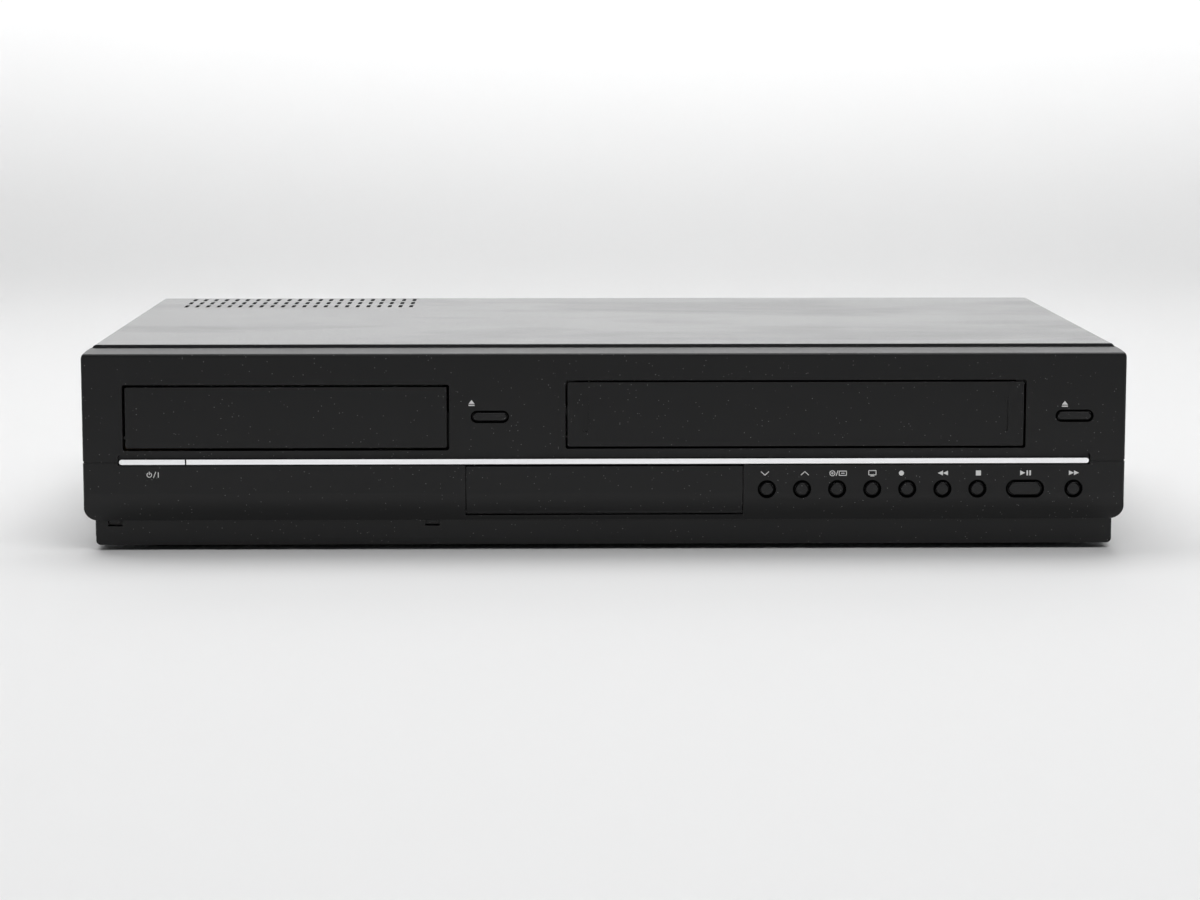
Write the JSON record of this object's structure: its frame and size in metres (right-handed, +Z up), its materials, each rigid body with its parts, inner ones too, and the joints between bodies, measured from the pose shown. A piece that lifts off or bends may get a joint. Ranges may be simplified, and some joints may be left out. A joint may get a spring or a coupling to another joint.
{
  "type": "disc player and cassette recorder combo",
  "caption": "Full-width black deck with a motorised disc tray on the left, a hinged cassette door on the right, a chrome strip, a flap over front sockets and a row of small keys.",
  "frame": {"origin": "on the surface that the feet stand on, in the middle of the outline", "axes": "+Z up, the front panel looks along -Y, +X to the right as seen from the front"},
  "size_m": [0.43, 0.242, 0.085],
  "materials": {
    "panel_plastic": "satin black moulding",
    "button_plastic": "semi-gloss black moulding",
    "chrome_trim": "bright plating",
    "cover_paint": "fine satin black paint",
    "plated_steel": "bright zinc plate",
    "black_screw": "black oxide",
    "foot_rubber": "matt",
    "socket_metal": "nickel plated barrels on black bodies",
    "inlet_plastic": "matt black",
    "board_green": "solder mask",
    "board_brown": "paper laminate",
    "component": "mixed components",
    "ribbon": "flat cable",
    "loader_plastic": "dark moulding",
    "tray_plastic": "fine grain",
    "gear_plastic": "natural acetal",
    "motor_can": "plated can",
    "lens_glass": "pickup with a glossy lens",
    "drum_alloy": "turned",
    "roller_rubber": "ground"
  },
  "bodies": {
    "chassis": {"front_panel": "panel_plastic", "trim_strip": "chrome_trim", "front_plinth": "panel_plastic", "top_cover": "cover_paint", "bottom_pan": "plated_steel", "rear_panel": "cover_paint", "rubber_feet": "foot_rubber", "case_screws": "black_screw", "jack_bay": "panel_plastic", "front_jacks": "socket_metal", "front_boards": "board_brown", "tact_switches": "component", "rear_sockets": "socket_metal", "ac_inlet": "inlet_plastic", "aerial_box": "plated_steel", "main_board": "board_green", "power_board": "board_brown", "board_parts": "component", "ribbon_cables": "ribbon", "loader_frame": "loader_plastic", "clamp_bridge": "plated_steel", "loader_motor": "motor_can", "loader_belt": "roller_rubber", "deck_plate": "plated_steel", "cassette_frame": "plated_steel", "drum_base": "drum_alloy", "capstan_motor": "motor_can", "tape_heads": "drum_alloy"},
    "disc_tray": {"disc_tray": "tray_plastic", "tray_cap": "panel_plastic"},
    "tray_gear": {"tray_gear": "gear_plastic"},
    "traverse": {"traverse": "loader_plastic"},
    "turntable": {"turntable": "motor_can"},
    "laser_sled": {"laser_sled": "lens_glass"},
    "sled_screw": {"sled_screw": "motor_can"},
    "clamp_puck": {"clamp_puck": "gear_plastic"},
    "cassette_door": {"cassette_door": "panel_plastic"},
    "lift_rails": {"lift_rails": "plated_steel"},
    "cassette_holder": {"cassette_holder": "plated_steel"},
    "head_drum": {"head_drum": "drum_alloy"},
    "capstan": {"capstan_flywheel": "motor_can"},
    "pinch_arm": {"pinch_arm": "plated_steel"},
    "pinch_roller": {"pinch_roller": "roller_rubber"},
    "supply_reel": {"supply_reel_table": "gear_plastic"},
    "takeup_reel": {"takeup_reel_table": "gear_plastic"},
    "supply_guide": {"supply_guide": "gear_plastic"},
    "takeup_guide": {"takeup_guide": "gear_plastic"},
    "jack_door": {"jack_door": "panel_plastic"},
    "power_button": {"power_button": "chrome_trim"},
    "open_button": {"open_button": "button_plastic"},
    "eject_button": {"eject_button": "button_plastic"},
    "play_button": {"play_button": "button_plastic"},
    "channel_down_button": {"channel_down_button": "button_plastic"},
    "channel_up_button": {"channel_up_button": "button_plastic"},
    "source_button": {"source_button": "button_plastic"},
    "output_button": {"output_button": "button_plastic"},
    "record_button": {"record_button": "button_plastic"},
    "rewind_button": {"rewind_button": "button_plastic"},
    "stop_button": {"stop_button": "button_plastic"},
    "forward_button": {"forward_button": "button_plastic"}
  },
  "joints": [
    {"name": "tray_slide", "type": "slide", "parent": "chassis", "child": "disc_tray", "axis": [0, -1, 0], "range_m": [0, 0.138]},
    {"name": "tray_gear_turn", "type": "hinge", "parent": "chassis", "child": "tray_gear", "pos_m": [-0.0863, -0.092, 0.0384], "axis": [0, 0, -1], "range_deg": [0, 990.4]},
    {"name": "traverse_lift", "type": "hinge", "parent": "chassis", "child": "traverse", "pos_m": [-0.1313, 0.05, 0.042], "axis": [-1, 0, 0], "range_deg": [0, 4.5]},
    {"name": "turntable_spin", "type": "hinge", "parent": "traverse", "child": "turntable", "pos_m": [-0.1313, -0.04833, 0.04229], "axis": [0, -0.0785, 0.9969], "continuous": true},
    {"name": "clamp_spin", "type": "hinge", "parent": "chassis", "child": "clamp_puck", "pos_m": [-0.1313, -0.048, 0.0532], "axis": [0, 0, 1], "continuous": true},
    {"name": "sled_slide", "type": "slide", "parent": "traverse", "child": "laser_sled", "axis": [0, 0.9969, 0.0785], "range_m": [0, 0.036]},
    {"name": "sled_screw_turn", "type": "hinge", "parent": "traverse", "child": "sled_screw", "pos_m": [-0.1053, -0.03478, 0.03583], "axis": [0, 0.9969, 0.0785], "range_deg": [0, 4325]},
    {"name": "cassette_door_swing", "type": "hinge", "parent": "chassis", "child": "cassette_door", "pos_m": [0.0786, -0.117, 0.0732], "axis": [1, 0, 0], "range_deg": [0, 88], "stiffness_Nm_per_rad": 0.002},
    {"name": "holder_drop", "type": "slide", "parent": "chassis", "child": "lift_rails", "axis": [0, 0, -1], "range_m": [0, 0.019]},
    {"name": "holder_travel", "type": "slide", "parent": "lift_rails", "child": "cassette_holder", "axis": [0, 1, 0], "range_m": [0, 0.045]},
    {"name": "drum_spin", "type": "hinge", "parent": "chassis", "child": "head_drum", "pos_m": [0.0786, 0.05, 0.019], "axis": [0, -0.0993, 0.9951], "continuous": true},
    {"name": "capstan_spin", "type": "hinge", "parent": "chassis", "child": "capstan", "pos_m": [0.1366, 0.018, 0.0075], "axis": [0, 0, 1], "continuous": true},
    {"name": "pinch_swing", "type": "hinge", "parent": "chassis", "child": "pinch_arm", "pos_m": [0.164, 0.038, 0.019], "axis": [0, 0, 1], "range_deg": [0, 25]},
    {"name": "pinch_roller_spin", "type": "hinge", "parent": "pinch_arm", "child": "pinch_roller", "pos_m": [0.13422, 0.03898, 0.023], "axis": [0, 0, 1], "continuous": true},
    {"name": "supply_reel_spin", "type": "hinge", "parent": "chassis", "child": "supply_reel", "pos_m": [0.0326, -0.046, 0.019], "axis": [0, 0, 1], "continuous": true},
    {"name": "takeup_reel_spin", "type": "hinge", "parent": "chassis", "child": "takeup_reel", "pos_m": [0.1246, -0.046, 0.019], "axis": [0, 0, 1], "continuous": true},
    {"name": "supply_guide_load", "type": "slide", "parent": "chassis", "child": "supply_guide", "axis": [0, 1, 0], "range_m": [0, 0.042]},
    {"name": "takeup_guide_load", "type": "slide", "parent": "chassis", "child": "takeup_guide", "axis": [0, 1, 0], "range_m": [0, 0.042]},
    {"name": "jack_door_swing", "type": "hinge", "parent": "chassis", "child": "jack_door", "pos_m": [-0.0003, -0.11808, 0.0164], "axis": [1, 0, 0], "range_deg": [0, 80]},
    {"name": "power_press", "type": "slide", "parent": "chassis", "child": "power_button", "axis": [0, 1, 0], "range_m": [0, 0.0008], "stiffness_N_per_m": 400},
    {"name": "open_press", "type": "slide", "parent": "chassis", "child": "open_button", "axis": [0, 1, 0], "range_m": [0, 0.0008], "stiffness_N_per_m": 400},
    {"name": "eject_press", "type": "slide", "parent": "chassis", "child": "eject_button", "axis": [0, 1, 0], "range_m": [0, 0.0008], "stiffness_N_per_m": 400},
    {"name": "play_press", "type": "slide", "parent": "chassis", "child": "play_button", "axis": [0, 1, 0], "range_m": [0, 0.0008], "stiffness_N_per_m": 400},
    {"name": "channel_down_press", "type": "slide", "parent": "chassis", "child": "channel_down_button", "axis": [0, 1, 0], "range_m": [0, 0.0008], "stiffness_N_per_m": 400},
    {"name": "channel_up_press", "type": "slide", "parent": "chassis", "child": "channel_up_button", "axis": [0, 1, 0], "range_m": [0, 0.0008], "stiffness_N_per_m": 400},
    {"name": "source_press", "type": "slide", "parent": "chassis", "child": "source_button", "axis": [0, 1, 0], "range_m": [0, 0.0008], "stiffness_N_per_m": 400},
    {"name": "output_press", "type": "slide", "parent": "chassis", "child": "output_button", "axis": [0, 1, 0], "range_m": [0, 0.0008], "stiffness_N_per_m": 400},
    {"name": "record_press", "type": "slide", "parent": "chassis", "child": "record_button", "axis": [0, 1, 0], "range_m": [0, 0.0008], "stiffness_N_per_m": 400},
    {"name": "rewind_press", "type": "slide", "parent": "chassis", "child": "rewind_button", "axis": [0, 1, 0], "range_m": [0, 0.0008], "stiffness_N_per_m": 400},
    {"name": "stop_press", "type": "slide", "parent": "chassis", "child": "stop_button", "axis": [0, 1, 0], "range_m": [0, 0.0008], "stiffness_N_per_m": 400},
    {"name": "forward_press", "type": "slide", "parent": "chassis", "child": "forward_button", "axis": [0, 1, 0], "range_m": [0, 0.0008], "stiffness_N_per_m": 400}
  ],
  "couplings": [
    {"joint": "tray_gear_turn", "follows": "tray_slide", "rad_per_m": 125},
    {"joint": "clamp_spin", "follows": "turntable_spin", "ratio": 1},
    {"joint": "sled_screw_turn", "follows": "sled_slide", "rad_per_m": 2094.4},
    {"joint": "takeup_guide_load", "follows": "supply_guide_load", "ratio": 1}
  ]
}
